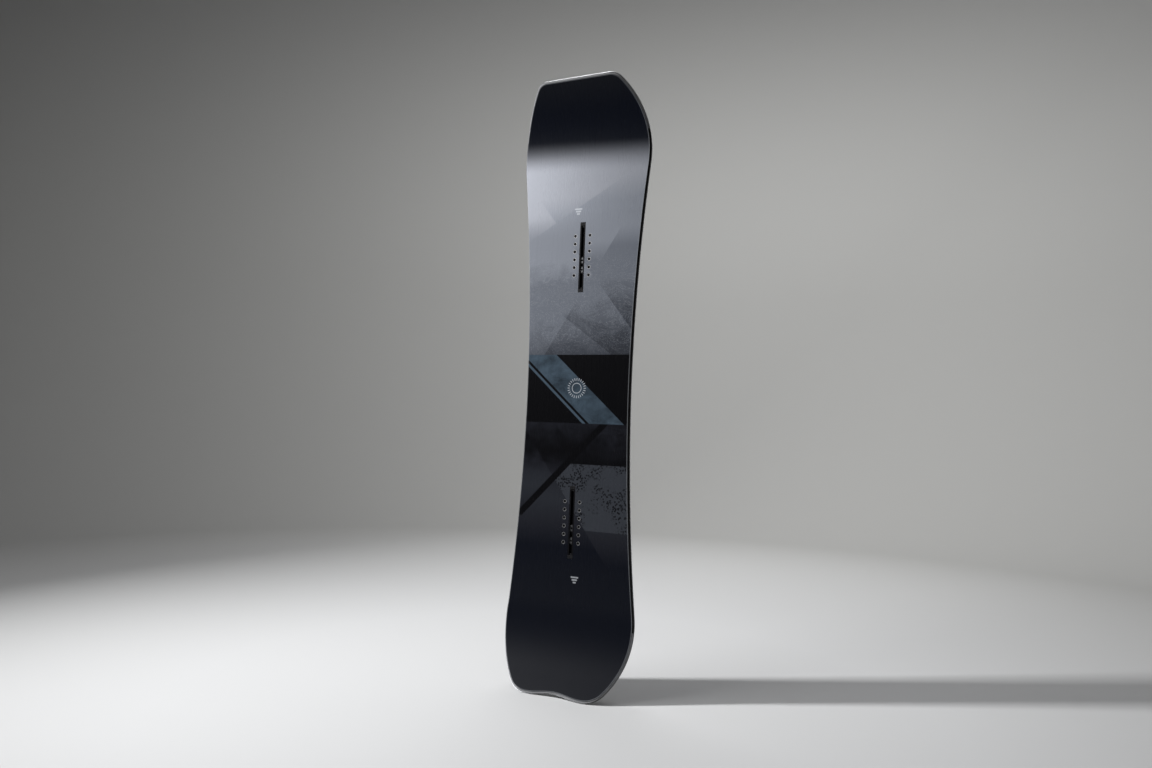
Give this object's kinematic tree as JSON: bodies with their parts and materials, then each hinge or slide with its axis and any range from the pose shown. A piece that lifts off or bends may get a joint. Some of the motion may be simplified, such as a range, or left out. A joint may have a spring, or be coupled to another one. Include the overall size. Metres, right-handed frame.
{
  "type": "snowboard",
  "caption": "Directional snowboard with squared nose, notched tail, toothed steel edges, slotted binding channels and threaded inserts.",
  "frame": {"origin": "on the floor plane under the middle of the board's box, with the board upright on its tail", "axes": "+Z from tail to nose, topsheet towards -Y, running base towards +Y, X across the board"},
  "size_m": [0.3476, 0.0776, 1.4992],
  "materials": {
    "base_ptex": "structured sintered base",
    "edge_steel": "ground",
    "foil_rubber": "matte",
    "laminate": "woven glass in clear resin",
    "core_wood": "planed",
    "core_ash": "planed",
    "sidewall_abs": "milled satin",
    "spacer_abs": "satin",
    "topsheet_print": "printed, glossy",
    "channel_black": "black anodised",
    "plug_nylon": "moulded",
    "nut_steel": "zinc plated",
    "cradle_nylon": "moulded",
    "insert_steel": "turned stainless"
  },
  "bodies": {
    "board": {"base_sheet": "base_ptex", "steel_edge_left": "edge_steel", "steel_edge_right": "edge_steel", "rubber_foil_left": "foil_rubber", "rubber_foil_right": "foil_rubber", "lower_fibreglass": "laminate", "upper_fibreglass": "laminate", "core_strips_left": "core_wood", "core_strips_right": "core_wood", "core_stringer_nose": "core_ash", "core_stringer_waist": "core_ash", "core_stringer_tail": "core_ash", "sidewall_left": "sidewall_abs", "sidewall_right": "sidewall_abs", "nose_spacer": "spacer_abs", "tail_spacer": "spacer_abs", "topsheet": "topsheet_print", "front_channel": "channel_black", "rear_channel": "channel_black", "front_channel_nose_plug": "plug_nylon", "front_channel_waist_plug": "plug_nylon", "rear_channel_waist_plug": "plug_nylon", "rear_channel_tail_plug": "plug_nylon", "insert_front_left_1": "insert_steel", "insert_front_left_2": "insert_steel", "insert_front_left_3": "insert_steel", "insert_front_left_4": "insert_steel", "insert_front_left_5": "insert_steel", "insert_front_left_6": "insert_steel", "insert_front_right_1": "insert_steel", "insert_front_right_2": "insert_steel", "insert_front_right_3": "insert_steel", "insert_front_right_4": "insert_steel", "insert_front_right_5": "insert_steel", "insert_front_right_6": "insert_steel", "insert_rear_left_1": "insert_steel", "insert_rear_left_2": "insert_steel", "insert_rear_left_3": "insert_steel", "insert_rear_left_4": "insert_steel", "insert_rear_left_5": "insert_steel", "insert_rear_left_6": "insert_steel", "insert_rear_right_1": "insert_steel", "insert_rear_right_2": "insert_steel", "insert_rear_right_3": "insert_steel", "insert_rear_right_4": "insert_steel", "insert_rear_right_5": "insert_steel", "insert_rear_right_6": "insert_steel"},
    "front_upper_nut": {"front_channel_nut_upper": "nut_steel", "front_nut_cradle_upper": "cradle_nylon"},
    "front_lower_nut": {"front_channel_nut_lower": "nut_steel", "front_nut_cradle_lower": "cradle_nylon"},
    "rear_upper_nut": {"rear_channel_nut_upper": "nut_steel", "rear_nut_cradle_upper": "cradle_nylon"},
    "rear_lower_nut": {"rear_channel_nut_lower": "nut_steel", "rear_nut_cradle_lower": "cradle_nylon"}
  },
  "joints": [
    {"name": "front_upper_nut_slide", "type": "slide", "parent": "board", "child": "front_upper_nut", "axis": [0, 0, 1], "range_m": [-0.0028, 0.0743]},
    {"name": "front_lower_nut_slide", "type": "slide", "parent": "board", "child": "front_lower_nut", "axis": [0, 0, 1], "range_m": [-0.0351, 0.0028]},
    {"name": "rear_upper_nut_slide", "type": "slide", "parent": "board", "child": "rear_upper_nut", "axis": [0, 0, 1], "range_m": [-0.0058, 0.0817]},
    {"name": "rear_lower_nut_slide", "type": "slide", "parent": "board", "child": "rear_lower_nut", "axis": [0, 0, 1], "range_m": [-0.0217, 0.0058]}
  ]
}
